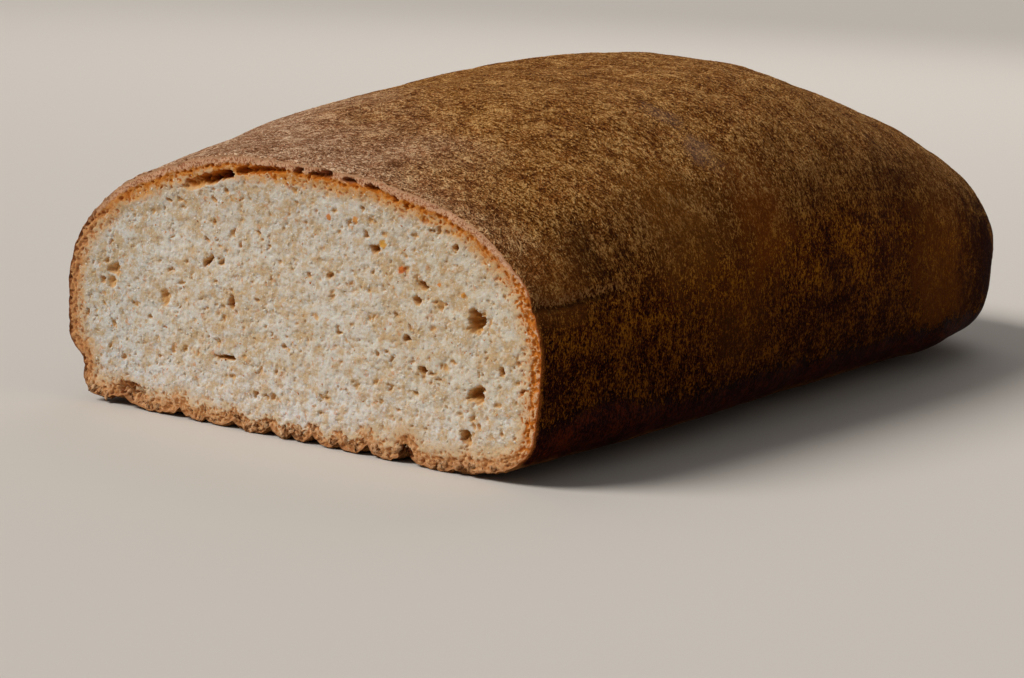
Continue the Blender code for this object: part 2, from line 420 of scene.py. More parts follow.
HOLLOW_AT_LEFT_CORNER = ((-44.6, 3.2, 9.4, 5.4, 1.8, -6),)
ARCH_OVER_HOLLOW = ((-45.4, 5.4, 7.8, 1.1, 1.2, -3),)
NOTCHES_IN_BASE = (
    (-30.6, 0.2, 3.6, 3.0, 9.0, 0),
    (-15.3, 0.2, 1.6, 2.8, 7.0, 0),
    (-4.6, -0.2, 3.6, 2.2, 6.0, 0),
    (7.0, 0.2, 3.6, 3.2, 8.0, 0),
    (21.6, 0.2, 2.8, 3.4, 8.0, -15),
    (31.8, 1.4, 4.2, 4.4, 11.0, 25),
)
# The named openings by kind, with how ragged and how soft their edges are.
NAMED_OPENINGS = (
    (TUNNEL_UNDER_CRUST, 0.50, 0.7),
    (SLITS_UNDER_CRUST, 0.60, 0.5),
    (LARGE_PORES, 0.48, 0.85),
    (ARCH_OVER_HOLLOW, 0.60, 1.0),
    (NOTCHES_IN_BASE, 0.25, 0.6),
)
HOLLOW_EDGES = (0.30, 0.8)

# How a pore departs from an egg: the waves of its outline, the lean of its floor and the grain of its walls.
COARSE_WAVER_SHARE = 0.55
FINE_WAVER = 0.00045
FINE_WAVER_SHARE = 0.5
FLOOR_LEAN = 0.5
WALL_ROUGHNESS = 0.7
WALL_GRAIN = 0.0008
REACH_SHARE = 0.9

# Scattered pores: number, widths, height per width, depth per width, distance from the outline, and how
# ragged and how soft their edges are. Those found anywhere are turned any way, the others along the outline.
ANYWHERE = 1.0
SCATTERED_PORES = (
    (200, (0.0009, 0.0021), (0.4, 1.0), 0.42, (0.0040, ANYWHERE), 0.85, 0.9),
    (1400, (0.0006, 0.0012), (0.4, 1.0), 0.34, (0.0030, ANYWHERE), 0.80, 1.0),
    (6500, (0.0005, 0.0010), (0.5, 1.0), 0.20, (0.0030, ANYWHERE), 0.60, 1.0),
    (1500, (0.0005, 0.0013), (0.35, 0.8), 0.45, (0.0003, 0.0024), 0.60, 0.8),
    (600, (0.0004, 0.0009), (0.40, 0.8), 0.40, (0.0020, 0.0042), 0.60, 0.8),
)
DEPTH_SPREAD = (0.6, 1.4)
TILT_SPREAD = 0.3

# The crown's lip, which scattered pores leave whole: its depth, and the height from which it counts.
CROWN_LIP = 0.0017
CROWN_LIP_FROM = 0.043

# Thickness of the toasted ring, and what its sides and its crown add and its base takes away.
RING_THICKNESS = 0.0034
RING_MORE_AT_RIGHT = 0.0008
RING_MORE_AT_LEFT = 0.0010
RING_MORE_AT_CROWN = 0.0008
RING_LESS_AT_BASE = 0.0013
CROWN_SPAN = (0.8, 1.0)
BASE_SPAN = (0.3, 1.0)

# The torn surface between the pores: heights and widths of its waves, which are wider than high.
TORN_WAVES = ((0.00034, 0.0060), (0.00024, 0.0026), (0.00009, 0.0011))
TORN_FLATNESS = 1.5
FLAT_EDGE = 0.0002
HIGHEST_TEAR = 0.0001
SEED = 11

# The cut face's honeycomb of points: how far each is shaken, and how near the outline they come, in steps.
SHAKE = 0.2
CLEAR_OF_OUTLINE = 0.7


def inside_outline(points, outline):
    """Which points lie inside the closed outline, by counting its crossings to their right."""
    inside = np.zeros(len(points), dtype=bool)
    for here, there in zip(outline, np.roll(outline, -1, axis=0)):
        crosses = (here[1] > points[:, 1]) != (there[1] > points[:, 1])
        if crosses.any():
            slope = (there[0] - here[0]) / (there[1] - here[1])
            inside ^= crosses & (points[:, 0] < here[0] + slope * (points[:, 1] - here[1]))
    return inside


def divided(outline, step):
    """The outline with its sides divided into parts of about one step."""
    parts = []
    for here, there in zip(outline, np.roll(outline, -1, axis=0)):
        count = max(1, round(float(np.linalg.norm(there - here)) / step))
        for part in range(count):
            parts.append(here + (there - here) * part / count)
    return np.array(parts)


def near_outline(points, outline):
    """Each point's distance from the outline, how far round the outline that is, and its direction there."""
    dense = divided(outline, OUTLINE_STEP)
    sides = np.roll(dense, -1, axis=0) - dense
    walked = np.concatenate([[0.0], np.cumsum(np.linalg.norm(sides, axis=1))])
    tree = kdtree.KDTree(len(dense))
    for number, (x, z) in enumerate(dense):
        tree.insert((x, z, 0.0), number)
    tree.balance()
    found = [tree.find((x, z, 0.0)) for x, z in points]
    nearest = [number for _, number, _ in found]
    inward = np.array([distance for _, _, distance in found])
    return inward, walked[nearest], np.arctan2(sides[nearest, 1], sides[nearest, 0])


def scattered_points(outline, rng):
    """Points of a slightly shaken honeycomb inside the outline."""
    low, high = outline.min(axis=0), outline.max(axis=0)
    row_step = CUT_FACE_STEP * math.sqrt(3.0) / 2.0
    rows = np.arange(low[1], high[1], row_step)
    columns = np.arange(low[0], high[0], CUT_FACE_STEP)
    x, z = np.meshgrid(columns, rows)
    x = x + np.where(np.arange(len(rows)) % 2 == 0, 0.0, CUT_FACE_STEP / 2.0)[:, None]
    points = np.stack([x.ravel(), z.ravel()], axis=1)
    points += rng.uniform(-SHAKE, SHAKE, points.shape) * CUT_FACE_STEP
    points = points[inside_outline(points, outline)]
    return points[near_outline(points, outline)[0] > CLEAR_OF_OUTLINE * CUT_FACE_STEP]


class PoreField:
    """Depths of ragged pores cut into a flat face, where the deepest pore at a point counts."""

    def __init__(self, points):
        self.points = points
        self.depth = np.zeros(len(points))
        self.tree = kdtree.KDTree(len(points))
        for number, (x, z) in enumerate(points):
            self.tree.insert((x, z, 0.0), number)
        self.tree.balance()

    def cut(self, x, z, width, height, depth, tilt, raggedness, softness):
        """One pore, deeper at one side; two waves move its outline in and out, so that no two are alike."""
        reach = REACH_SHARE * max(width, height)
        cosine, sine = math.cos(tilt), math.sin(tilt)
        coarse = COARSE_WAVER_SHARE * min(width, height)
        for place, number, _ in self.tree.find_range((x, z, 0.0), reach):
            u, v = place.x - x, place.y - z
            along = (u * cosine + v * sine) / (width / 2.0)
            over = (v * cosine - u * sine) / (height / 2.0)
            waver = noise.noise(place / coarse) + FINE_WAVER_SHARE * noise.noise(place / FINE_WAVER)
            distance = math.hypot(along, over) * (1.0 + raggedness * waver)
            if distance < 1.0:
                grain = 1.0 + WALL_ROUGHNESS * noise.noise(place / WALL_GRAIN)
                leaning = depth * (1.0 + FLOOR_LEAN * over) * grain
                self.depth[number] = max(self.depth[number], leaning * (1.0 - distance**2) ** softness)


def crust_thickness(x, z):
    """The crust ring is thick at the sides and the crown, and thinnest along the base."""
    turn = np.arctan2(z - CUT_HEIGHT * WIDEST_LINE[0], x)
    right = smooth_step(0.0, 1.0, np.cos(turn))
    left = smooth_step(0.0, 1.0, -np.cos(turn))
    crown = smooth_step(*CROWN_SPAN, np.sin(turn))
    low = smooth_step(*BASE_SPAN, -np.sin(turn))
    thick = RING_THICKNESS + RING_MORE_AT_RIGHT * right + RING_MORE_AT_LEFT * left
    return thick + RING_MORE_AT_CROWN * crown - RING_LESS_AT_BASE * low


def cut_openings(field, openings, raggedness, softness):
    for x, z, width, height, depth, tilt in openings:
        sizes = [size * MILLIMETRE for size in (x, z, width, height, depth)]
        field.cut(*sizes, math.radians(tilt), raggedness, softness)


def cut_scattered_pores(field, inward, tangent, rng):
    """Pores of the crumb, which lie any way, and those of the crust ring, which follow its outline."""
    low, high = field.points.min(axis=0), field.points.max(axis=0)
    for count, widths, flatness, depth_share, reach, raggedness, softness in SCATTERED_PORES:
        made = 0
        while made < count:
            place = rng.uniform(low, high)
            _, nearest, distance = field.tree.find((*place, 0.0))
            if distance > CUT_FACE_STEP or not reach[0] < inward[nearest] < reach[1]:
                continue
            if place[1] > CROWN_LIP_FROM and inward[nearest] < CROWN_LIP:
                continue
            width = rng.uniform(*widths)
            height = width * rng.uniform(*flatness)
            depth = width * depth_share * rng.uniform(*DEPTH_SPREAD)
            if reach[1] < ANYWHERE:
                tilt = tangent[nearest] + rng.normal(0.0, TILT_SPREAD)
            else:
                tilt = rng.uniform(-math.pi, math.pi)
            field.cut(*place, width, height, depth, tilt, raggedness, softness)
            made += 1


def crumb_relief(points, inward, tangent, rng):
    """Depth of the pores, and the torn surface between them."""
    pores, hollow = PoreField(points), PoreField(points)
    for openings, raggedness, softness in NAMED_OPENINGS:
        cut_openings(pores, openings, raggedness, softness)
    cut_openings(hollow, HOLLOW_AT_LEFT_CORNER, *HOLLOW_EDGES)
    cut_scattered_pores(pores, inward, tangent, rng)
    flat = np.stack([points[:, 0], points[:, 1] * TORN_FLATNESS, np.zeros(len(points))], axis=1)
    return pores.depth, hollow.depth + waves_at(flat, TORN_WAVES)


class Channel:
    """A socket of a finish's tree, on which arithmetic adds Math nodes."""

    def __init__(self, finish, socket):
        self.finish = finish
        self.socket = socket

    def __add__(self, other):
        return self.finish.math("ADD", self, other)

    __radd__ = __add__

    def __sub__(self, other):
        return self.finish.math("SUBTRACT", self, other)

    def __rsub__(self, other):
        return self.finish.math("SUBTRACT", other, self)

    def __mul__(self, other):
        return self.finish.math("MULTIPLY", self, other)

    __rmul__ = __mul__

    def __truediv__(self, other):
        return self.finish.math("DIVIDE", self, other)


class Finish:
    """The node tree of one material."""

    def __init__(self, name):
        self.material = bpy.data.materials.new(name)
        self.material.use_nodes = True
        self.tree = self.material.node_tree
        self.shader = self.tree.nodes["Principled BSDF"]
        self.place = self.node("ShaderNodeTexCoord", {}, {}, "Object")

    def node(self, kind, settings, values, output=0):
        """Any node: its settings first, then the values or links of its sockets."""
        made = self.tree.nodes.new(kind)
        for name, setting in settings.items():
            setattr(made, name, setting)
        for name, value in values.items():
            self.feed(made.inputs[name], value)
        return Channel(self, made.outputs[output])

    def surface(self, settings):
        """Feeds the shader's own sockets and hands over the material."""
        for name, value in settings.items():
            self.feed(self.shader.inputs[name], value)
        return self.material

    def feed(self, socket, value):
        if isinstance(value, Channel):
            self.tree.links.new(value.socket, socket)
        else:
            socket.default_value = value

    def math(self, operation, first, second):
        return self.node("ShaderNodeMath", {"operation": operation}, {0: first, 1: second})

    def vector(self, operation, first, second):
        """Vector arithmetic; a vector is scaled by a number, and otherwise meets another vector."""
        socket = "Scale" if operation == "SCALE" else 1
        return self.node("ShaderNodeVectorMath", {"operation": operation}, {0: first, socket: second})

    def part(self, place, axis):
        return self.node("ShaderNodeSeparateXYZ", {}, {"Vector": place}, axis)

    def fade(self, value, low, high):
        """0 up to low, 1 from high on, smooth between them."""
        limits = {"Value": value, "From Min": low, "From Max": high}
        return self.node("ShaderNodeMapRange", {"interpolation_type": "SMOOTHSTEP"}, limits)

    def mix(self, first, second, share):
        return self.node("ShaderNodeMix", {"data_type": "RGBA"}, {0: share, 6: first, 7: second}, 2)

    def clouds(self, place, size, detail=2.0, roughness=0.5, output=0):
        values = {"Vector": place, "Scale": 1.0 / size, "Detail": detail, "Roughness": roughness}
        return self.node("ShaderNodeTexNoise", {}, values, output)

    def cells(self, place, size):
        """A share from 0 to 1 that differs from cell to cell."""
        colour = self.node("ShaderNodeTexVoronoi", {}, {"Vector": place, "Scale": 1.0 / size}, "Color")
        return self.node("ShaderNodeSeparateColor", {}, {"Color": colour}, "Green")

    def away(self, place, corner):
        """The distance of each place from the corner."""
        return self.node("ShaderNodeVectorMath", {"operation": "DISTANCE"}, {0: place, 1: corner}, "Value")

    def between(self, value, begins, ends):
        """0 before the first span and after the last, 1 between them."""
        return self.fade(value, *begins) * (1.0 - self.fade(value, *ends))

    def lay(self, coloured, pattern, colour, span, strength=1.0):
        """Lays the colour over another as the pattern rises through its span."""
        return self.mix(coloured, colour, self.fade(pattern, *span) * strength)

    def times(self, colour, change, share):
        """The colour multiplied by the change, as far as the share says."""
        return self.mix(colour, self.vector("MULTIPLY", colour, change), share)

    def stored(self, title):
        return self.node("ShaderNodeAttribute", {"attribute_name": title}, {}, "Fac")

    def stretched(self, place, scale):
        return self.node("ShaderNodeMapping", {}, {"Vector": place, "Scale": scale})

    def bump(self, height, depth):
        """A relief of the given depth in metres, from a height between 0 and 1."""
        return self.node("ShaderNodeBump", {}, {"Height": height * depth, "Distance": 1.0})


def tint(red, green, blue):
    """A colour given as it looks on a screen, from 0 to 255, as the shader needs it."""
    shares = [value / 255.0 for value in (red, green, blue)]
    linear = [share / 12.92 if share <= 0.04045 else ((share + 0.055) / 1.055) ** 2.4 for share in shares]
    return (*linear, 1.0)


# Patches of the crust: middle, reach, colour and strength. The dark ones on the right side and over the far
# end are partly darker baking and partly painted shade.
CRUST_PATCHES = (
    ((0.0439, -0.0484, 0.0686), 0.0060, tint(184, 160, 140), 0.12),
    ((0.0558, -0.0498, 0.0619), 0.0070, tint(178, 154, 138), 0.17),
    ((0.0674, -0.0394, 0.0479), 0.0160, tint(152, 80, 18), 0.45),
    ((0.0711, -0.1230, 0.0425), 0.0130, tint(146, 84, 30), 0.40),
    ((0.0640, 0.0340, 0.0420), 0.0280, tint(60, 20, 0), 0.30),
    ((0.0690, -0.0100, 0.0250), 0.0180, tint(44, 12, 0), 0.30),
    # Painted pool of light: the golden patch on the right side towards the far end.
    ((0.0637, 0.0604, 0.0256), 0.0300, tint(150, 82, 6), 0.34),
    ((0.0350, 0.1290, 0.0280), 0.0500, tint(38, 4, 0), 0.78),
    ((0.0600, 0.0900, 0.0270), 0.0240, tint(40, 4, 0), 0.70),
    ((0.0665, -0.1130, 0.0470), 0.0130, tint(36, 12, 0), 0.35),
    ((0.0670, -0.0730, 0.0480), 0.0190, tint(156, 96, 30), 0.38),
    ((0.0712, -0.0540, 0.0310), 0.0200, tint(122, 68, 8), 0.22),
)
PATCH_EDGE = (0.2, 1.0)
PATCHES_SHAKEN_BY_BLOTCHES = 2.2
PATCHES_SHAKEN_BY_GRAIN = 1.5

# Dark, middle and light tones of the crust: low and high on its sides, on its top, and there near the cut.
# The sides are darker than the top, and darker still low down, partly from baking and partly as painted
# shade.
LOW_SIDE_TONES = (tint(18, 0, 0), tint(62, 22, 0), tint(136, 80, 14))
SIDE_TONES = (tint(27, 0, 0), tint(98, 44, 0), tint(180, 116, 26))
TOP_TONES = (tint(80, 35, 0), tint(149, 95, 36), tint(218, 168, 104))
# Painted sheen: the pale pinkish tones of the top near the cut.
NEAR_TOP_SHEEN_TONES = (tint(112, 70, 42), tint(175, 130, 96), tint(228, 195, 162))
FOOT_TONES = (tint(24, 0, 0), tint(86, 30, 4))
UNDERSIDE_TONES = (tint(88, 48, 20), tint(150, 102, 58))
REDDER = (1.0, 0.62, 0.45)
# Painted glint: how much brighter the palest bran is made, as if it caught the light.
PAINTED_GLINT = (1.35, 1.35, 1.45)
SINGED_EDGE = tint(164, 92, 40)

# Spans of the patterns that bring up the crust's tones, and how strongly.
MIDDLE_TONE_SPAN = (0.39, 0.52)
LIGHT_TONE_SPAN = (0.50, 0.65)
REDDER_SPAN = (0.46, 0.66)
FOOT_TONE_SPAN = (0.42, 0.66)
UNDERSIDE_TONE_SPAN = (0.38, 0.62)
BLOTCHED_BY = 0.30
REDDER_BY = 0.35
SINGED_BY = 0.75

# The seam, by the height above its crease: pale dust on the fold and shade under it.
SEAM_DUST = tint(166, 126, 84)
DUST_BEGINS = (-0.0004, 0.0003)
DUST_ENDS = (0.0008, 0.0026)
DUST_GRAIN_SPAN = (0.44, 0.58)
DUSTED_BY = 0.55
SEAM_SHADE = tint(16, 2, 0)
SHADE_BEGINS = (-0.0016, -0.0007)
SHADE_ENDS = (-0.0005, 0.0001)
SHADED_BY = 0.65

# Where the crust's tones change: with the skin's slant, behind the cut, and up its sides.
TOP_SPAN = (0.05, 0.85)
NEAR_CUT_SPAN = (-0.130, -0.070)
HIGH_SIDE_SPAN = (0.018, 0.042)
FOOT_SPAN = (-0.0012, 0.0016)
ROUGH_SPAN = (-0.0010, 0.0010)
SINGED_SPAN = (CUT_MIDDLE[1] + 0.0001, CUT_MIDDLE[1] + 0.0009)
SINGED_UP_TO = (0.0, 0.6)
UNDERSIDE_SPAN = (0.75, 0.97)
TOP_WAVER = 0.5
NEAR_CUT_SLANT = 0.7
NEAR_CUT_WAVER = 0.06
HIGH_SIDE_WAVER = 0.02
UNDERSIDE_WAVER = 0.4

# Sizes of the crust's patterns in metres, how far they shift, and how deep the grain is.
DRIFT_SIZE = 0.030
WANDER_SIZE = 0.005
WANDER_SHIFT = 0.0012
FINE_GRAIN_SIZE = 0.0006
COARSE_GRAIN_SIZE = 0.0018
DRAWN_OUT = (1.0, 1.4, 1.0)
BLOTCH_SIZE = 0.007
REDNESS_SIZE = 0.0045
FOOT_WAVER_SIZE = 0.006
FOOT_WAVER = 0.005
FOOT_GRAIN = 0.010
SEAM_WAVER_SIZE = 0.004
SEAM_WAVER = 0.0024
SEAM_GRAIN = 0.0030
SINGED_GRAIN = 0.0024
CRUST_RELIEF = 0.0013
CRUST_SHINE = 0.03

# How light the bran on the crust is, by each flake's own share; the palest get a painted glint.
PALER_BRAN = (0.0, 0.8)
GLINTING_BRAN = (0.80, 1.0)


def crust_tones(finish):
    """The crust's dark, middle and light tone at each place, which drift from its sides to its top: the
    darker sides are partly painted shade, and the pale top near the cut is a painted sheen.
    """
    across, along = finish.part(finish.place, "X"), finish.part(finish.place, "Y")
    drift = finish.clouds(finish.place, DRIFT_SIZE, 3.0, 0.6) - 0.5
    above = finish.fade(finish.stored("up") + drift * TOP_WAVER, *TOP_SPAN)
    from_cut = along + across * NEAR_CUT_SLANT + drift * NEAR_CUT_WAVER
    near = above * (1.0 - finish.fade(from_cut, *NEAR_CUT_SPAN))
    high = finish.fade(finish.part(finish.place, "Z") + drift * HIGH_SIDE_WAVER, *HIGH_SIDE_SPAN)
    tones = []
    for low_side, side, top, near_top in zip(LOW_SIDE_TONES, SIDE_TONES, TOP_TONES, NEAR_TOP_SHEEN_TONES):
        # darker sides, darker low down: partly baking, partly painted shade
        tone = finish.mix(finish.mix(low_side, side, high), top, above)
        # painted sheen on the top near the cut
        tones.append(finish.mix(tone, near_top, near))
    return tones


def patched(finish, coloured, shake):
    """The colour with the crust's patches over it, their edges shaken."""
    for centre, reach, colour, strength in CRUST_PATCHES:
        spread = 1.0 - finish.fade(finish.away(finish.place, centre) / reach + shake, *PATCH_EDGE)
        coloured = finish.mix(coloured, colour, spread * strength)
    return coloured


def seamed(finish, coloured, grain):
    """The colour with the seam over it: its pale dusty fold, and the shade of its crease."""
    waver = (finish.clouds(finish.place, SEAM_WAVER_SIZE) - 0.5) * SEAM_WAVER
    above = finish.stored("above_seam") + waver + (grain - 0.5) * SEAM_GRAIN
    there = finish.stored("seam")
    dusty = there * finish.between(above, DUST_BEGINS, DUST_ENDS)
    coloured = finish.mix(coloured, SEAM_DUST, dusty * finish.fade(grain, *DUST_GRAIN_SPAN) * DUSTED_BY)
    crease = there * finish.between(above, SHADE_BEGINS, SHADE_ENDS)
    return finish.mix(coloured, SEAM_SHADE, crease * SHADED_BY)


def crust_finish():
    """Baked brown crust: a fine grain, drawn out round the loaf, that ends at the smooth dark foot."""
    finish = Finish("baked_crust")
    place = finish.place
    wander = finish.vector("SCALE", finish.clouds(place, WANDER_SIZE, output="Color"), WANDER_SHIFT)
    drawn = finish.stretched(finish.vector("ADD", place, wander), DRAWN_OUT)
    fine = finish.clouds(drawn, FINE_GRAIN_SIZE, 1.0, 1.0)
    grain = finish.clouds(drawn, COARSE_GRAIN_SIZE, 1.0, 1.0) * 0.4 + fine * 0.6
    blotches = finish.clouds(place, BLOTCH_SIZE, 3.0, 0.65)
    value = grain + (blotches - 0.5) * BLOTCHED_BY
    dark, middle, light = crust_tones(finish)
    redness = finish.fade(finish.clouds(place, REDNESS_SIZE, 3.0, 0.7), *REDDER_SPAN)
    middle = finish.times(middle, REDDER, redness * REDDER_BY)
    coloured = finish.lay(dark, value, middle, MIDDLE_TONE_SPAN)
    coloured = finish.lay(coloured, value, light, LIGHT_TONE_SPAN)
    shake = (blotches - 0.5) * PATCHES_SHAKEN_BY_BLOTCHES + (grain - 0.5) * PATCHES_SHAKEN_BY_GRAIN
    coloured = seamed(finish, patched(finish, coloured, shake), grain)

    waver = (finish.clouds(place, FOOT_WAVER_SIZE) - 0.5) * FOOT_WAVER
    above_foot = finish.stored("above_foot") + waver + (grain - 0.5) * FOOT_GRAIN
    smooth = finish.mix(*FOOT_TONES, finish.fade(value, *FOOT_TONE_SPAN))
    coloured = finish.lay(smooth, above_foot, coloured, FOOT_SPAN)
    behind_cut = finish.part(place, "Y") + (fine - 0.5) * SINGED_GRAIN
    singed = 1.0 - finish.fade(behind_cut, *SINGED_SPAN)
    singed = singed * (1.0 - finish.fade(finish.stored("up"), *SINGED_UP_TO))
    coloured = finish.mix(coloured, SINGED_EDGE, singed * SINGED_BY)
    under = finish.fade(0.0 - finish.stored("up") + (blotches - 0.5) * UNDERSIDE_WAVER, *UNDERSIDE_SPAN)
    underside = finish.mix(*UNDERSIDE_TONES, finish.fade(value, *UNDERSIDE_TONE_SPAN))
    rough = finish.math("MAXIMUM", finish.fade(above_foot, *ROUGH_SPAN), under)
    return finish.surface({
        "Base Color": finish.mix(coloured, underside, under),
        "Roughness": 0.55 + 0.25 * rough,
        "Specular IOR Level": CRUST_SHINE,
        "Normal": finish.bump(grain * (0.25 + 0.75 * rough), CRUST_RELIEF),
    })


def crust_bran_finish():
    """Bran on the crust, in the tone of the crust under it or lighter, the palest with a painted glint."""
    finish = Finish("crust_bran")
    own = finish.stored("tone")
    _, middle, light = crust_tones(finish)
    toned = finish.lay(middle, own, light, PALER_BRAN)
    # painted glint on the palest flakes
    toned = finish.lay(toned, own, finish.vector("MULTIPLY", light, PAINTED_GLINT), GLINTING_BRAN)
    blotches = finish.clouds(finish.place, BLOTCH_SIZE, 3.0, 0.65)
    coloured = patched(finish, toned, (blotches - 0.5) * PATCHES_SHAKEN_BY_BLOTCHES)
    return finish.surface({"Base Color": coloured, "Roughness": 0.7, "Specular IOR Level": CRUST_SHINE})


# Bran in the cut: middle across and up and reach in millimetres, colour.
BRAN_SPECKS = (
    (28.7, 39.9, 1.2, tint(196, 96, 0)),
    (23.7, 44.6, 1.0, tint(204, 146, 40)),
    (16.4, 48.7, 1.0, tint(206, 136, 50)),
    (38.5, 38.1, 0.7, tint(206, 124, 30)),
    (44.7, 36.7, 0.8, tint(208, 140, 46)),
    (9.3, 48.6, 0.8, tint(202, 120, 40)),
)

# Colours of the crumb, and how they change to the right, to the left, at the top and at the base.
CREAM = tint(210, 203, 190)
CRUMB_AT_RIGHT = (0.99, 0.96, 0.90)
CRUMB_AT_LEFT = (0.89, 0.93, 0.98)
CRUMB_AT_TOP = (0.91, 0.90, 0.89)
CRUMB_AT_BASE = (1.05, 1.08, 1.16)

# What lies over the cream: colour, the span of its pattern that brings it up, and how strongly.
TAN = (tint(196, 170, 134), (0.42, 0.61))
BROWN_FLECKS = (tint(170, 130, 80), (0.55, 0.74), 0.6)
# Painted highlights: white flecks on the crumb's raised cell walls.
WHITE_HIGHLIGHT_FLECKS = (tint(226, 227, 228), (0.05, 0.20), 0.6)
ORANGE_FLECKS = (tint(200, 140, 96), (0.92, 1.08), 0.7)
# Painted shade: pores tinted tan to ochre by their depth, and deeper ochre under the crown.
SHALLOW_PORE_SHADE = (tint(208, 160, 100), (0.00010, 0.0005), 0.85)
DEEP_PORE_SHADE = (tint(190, 130, 54), (0.0006, 0.0020), 0.85)
TOP_PORE_SHADE = tint(176, 104, 30)
TOP_PORE_SPAN = (0.0006, 0.0016)
TOP_PORES_BY = 0.8
SPECK_EDGE = (0.50, 0.95)
SPECK_SHAKE = 1.6
SPECKED_BY = 0.9

# Colours of the toasted ring at its left, at its right, at its top and along its base.
LIP = (tint(188, 145, 108), tint(212, 178, 150), tint(205, 160, 126), tint(200, 152, 112))
BAND = (tint(191, 141, 92), tint(210, 168, 126), tint(190, 124, 54), tint(204, 158, 114))
# The band's rust streaks, which are also the painted shade of its shallow pores, and the painted shade of its
# deeper pores.
BAND_RUST_AND_SHADE = (tint(182, 126, 80), tint(192, 112, 38), tint(176, 96, 22), tint(188, 130, 80))
BAND_PORE_SHADE = (tint(138, 82, 40), tint(158, 80, 22), tint(180, 98, 24), tint(150, 92, 46))
STAIN = (tint(198, 164, 124), tint(208, 178, 138), tint(202, 148, 86), tint(208, 178, 140))
SPOTS = (tint(164, 106, 64), tint(190, 112, 50), tint(150, 90, 54), tint(166, 106, 62))
RIND = (tint(134, 80, 42), tint(150, 80, 30), tint(188, 142, 106), tint(170, 118, 76))
# Painted shade in the deepest holes under the crown, and faintly along the base.
DEPTH_SHADE = tint(104, 28, 2)

# Spans of the patterns, depths and distances that bring up the ring's colours, and how strongly.
RIND_SPAN = (0.00020, 0.00055)
LIP_SPAN = (0.0001, 0.0008)
RUST_SPAN = (0.46, 0.62)
SPOT_SPAN = (0.50, 0.66)
TOP_SPOT_SPAN = (0.44, 0.62)
MOTTLED_STAIN_SPAN = (-0.10, 0.14)
STAIN_SPAN = (0.50, 0.86)
CRUMB_SPAN = (0.84, 1.36)
RING_PORE_SPAN = (0.00005, 0.00025)
RING_DEPTH_SPAN = (0.0004, 0.0016)
DEPTHS_SPAN = (0.0020, 0.0042)
RUSTED_BY = 0.85
STAIN_MOTTLED_BY = 0.5
DEPTHS_AT_BASE_BY = 0.25

# Places on the cut where its colours change, across and up.
RIGHT_OF_RING = (0.040, 0.064)
TOP_OF_RING = (0.036, 0.050)
BASE_OF_RING = (0.004, 0.009)
RIGHT_OF_CRUMB = (0.022, 0.050)
LEFT_OF_CRUMB = (-0.045, -0.020)
BASE_OF_CRUMB = (0.008, 0.018)

# Sizes of the crumb's patterns in metres, and how deep its grain is.
CRUMB_GRAIN_SIZE = 0.0008
MOTTLE_SIZE = 0.0024
PATCH_SIZE = 0.010
FLECK_SIZE = 0.0011
RUST_SIZE = 0.0011
LIP_FLECK_SIZE = 0.0006
RING_SHAKE = 0.0016
TOP_LIP = 0.0012
RIND_SHAKE = 0.0010
RAGGED_BY_MOTTLE = 1.3
RAGGED_BY_GRAIN = 0.5
CRUMB_RELIEF = 0.0003


class CutPlaces:
    """What the finish of the cut knows of each place: where it lies, and the patterns that cross there."""

    def __init__(self, finish):
        self.finish = finish
        self.across, self.rise = finish.part(finish.place, "X"), finish.part(finish.place, "Z")
        self.inward, self.ring, self.around, self.hole = (
            finish.stored(title) for title in ("inward", "ring", "around", "hole")
        )
        self.grain = finish.clouds(finish.place, CRUMB_GRAIN_SIZE, 3.0, 0.8)
        self.mottle = finish.clouds(finish.place, MOTTLE_SIZE, 3.0, 0.7)
        self.right = finish.fade(self.across, *RIGHT_OF_RING)
        self.top = finish.fade(self.rise, *TOP_OF_RING)
        self.low = 1.0 - finish.fade(self.rise, *BASE_OF_RING)

    def by_side(self, colours):
        """The ring's colour on each side of the cut."""
        left, at_right, at_top, at_base = colours
        mix = self.finish.mix
        beside = mix(left, at_right, self.right)
        return mix(mix(beside, at_top, self.top), at_base, self.low)


def crumb_colour(finish, cut):
    """Pale crumb: cream and tan patches, flecks with painted highlights, pores tinted with painted shade, and
    grains of orange bran.
    """
    grain, hole = cut.grain, cut.hole
    patches = finish.clouds(finish.place, PATCH_SIZE, 2.0, 0.5)
    crumb = finish.lay(CREAM, patches * 0.25 + cut.mottle * 0.75, *TAN)
    crumb = finish.times(crumb, CRUMB_AT_RIGHT, finish.fade(cut.across, *RIGHT_OF_CRUMB))
    crumb = finish.times(crumb, CRUMB_AT_LEFT, 1.0 - finish.fade(cut.across, *LEFT_OF_CRUMB))
    crumb = finish.times(crumb, CRUMB_AT_TOP, cut.top)
    crumb = finish.times(crumb, CRUMB_AT_BASE, 1.0 - finish.fade(cut.rise, *BASE_OF_CRUMB))
    crumb = finish.lay(crumb, grain, *BROWN_FLECKS)
    # painted highlights: white flecks
    crumb = finish.lay(crumb, 0.5 - grain, *WHITE_HIGHLIGHT_FLECKS)
    crumb = finish.lay(crumb, finish.cells(finish.place, FLECK_SIZE) + (grain - 0.5) * 0.7, *ORANGE_FLECKS)
    # painted shade in the pores, by their depth
    crumb = finish.lay(crumb, hole, *SHALLOW_PORE_SHADE)
    crumb = finish.lay(crumb, hole, *DEEP_PORE_SHADE)
    crumb = finish.mix(crumb, TOP_PORE_SHADE, finish.fade(hole, *TOP_PORE_SPAN) * cut.top * TOP_PORES_BY)
    for middle_across, middle_up, reach, colour in BRAN_SPECKS:
        corner = (middle_across * MILLIMETRE + CUT_MIDDLE[0], CUT_MIDDLE[1], middle_up * MILLIMETRE)
        away = finish.away(finish.place, corner) / (reach * MILLIMETRE)
        spread = away + (grain - 0.5) * SPECK_SHAKE + (cut.mottle - 0.5) * SPECK_SHAKE
        crumb = finish.mix(crumb, colour, SPECKED_BY - finish.fade(spread, *SPECK_EDGE) * SPECKED_BY)
    return crumb


